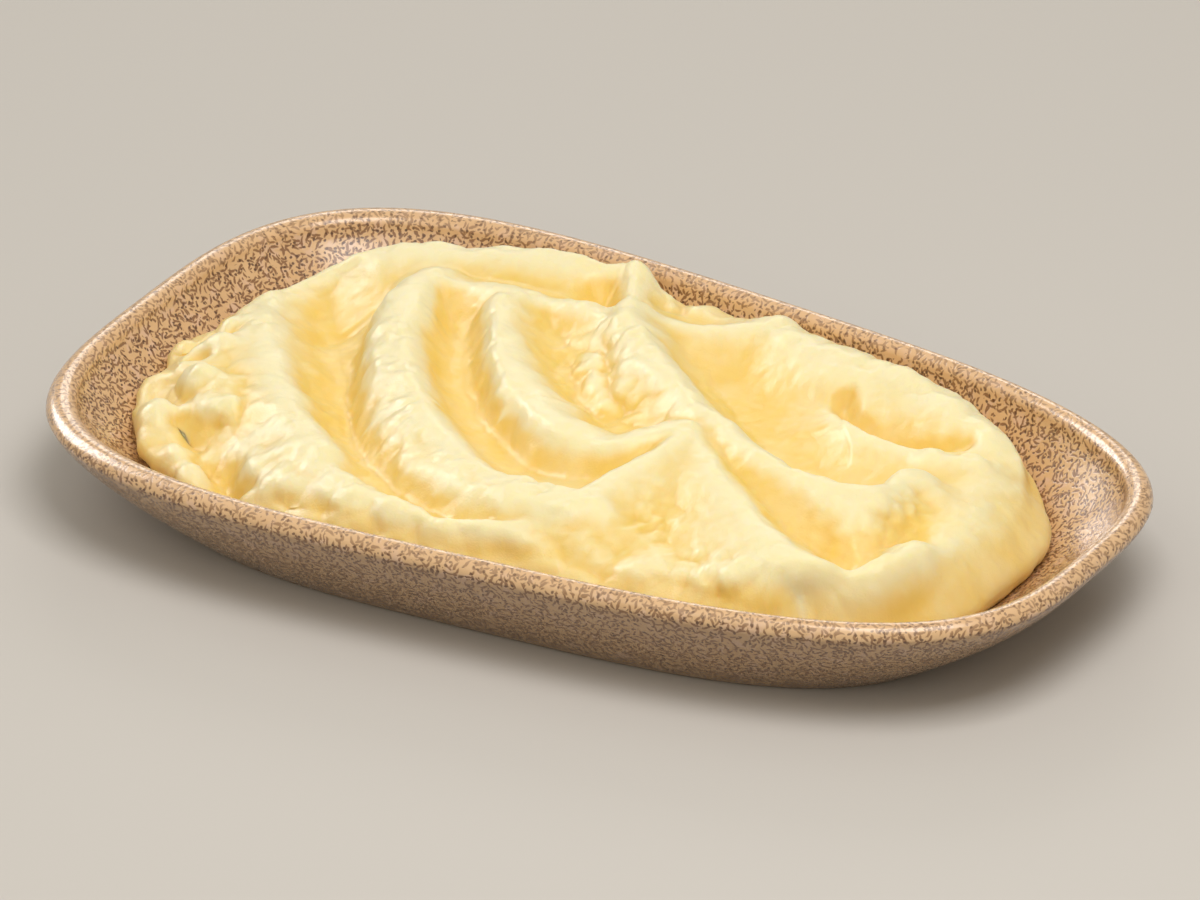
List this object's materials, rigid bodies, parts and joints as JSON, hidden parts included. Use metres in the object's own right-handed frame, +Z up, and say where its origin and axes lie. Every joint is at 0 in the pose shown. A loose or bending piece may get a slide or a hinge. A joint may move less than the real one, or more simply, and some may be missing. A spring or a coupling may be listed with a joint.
{
  "type": "mashed potato side",
  "caption": "Swirled mashed potato heaped in a shallow rounded-rectangular speckled stoneware dish.",
  "frame": {"origin": "middle of the dish's footprint on the plane it stands on", "axes": "+X along the dish towards its narrower end, +Y across it towards the heap's tallest side, +Z up"},
  "size_m": [0.22, 0.1358, 0.0306],
  "materials": {
    "speckled_stoneware": "glossy tan glaze with short dark brown speckles, thinner and paler on the lip",
    "mashed_potato": "moist cream-yellow potato, smooth where the spoon pressed it and crumbly between"
  },
  "bodies": {
    "root": {"dish": "speckled_stoneware", "mash": "mashed_potato"}
  },
  "joints": []
}
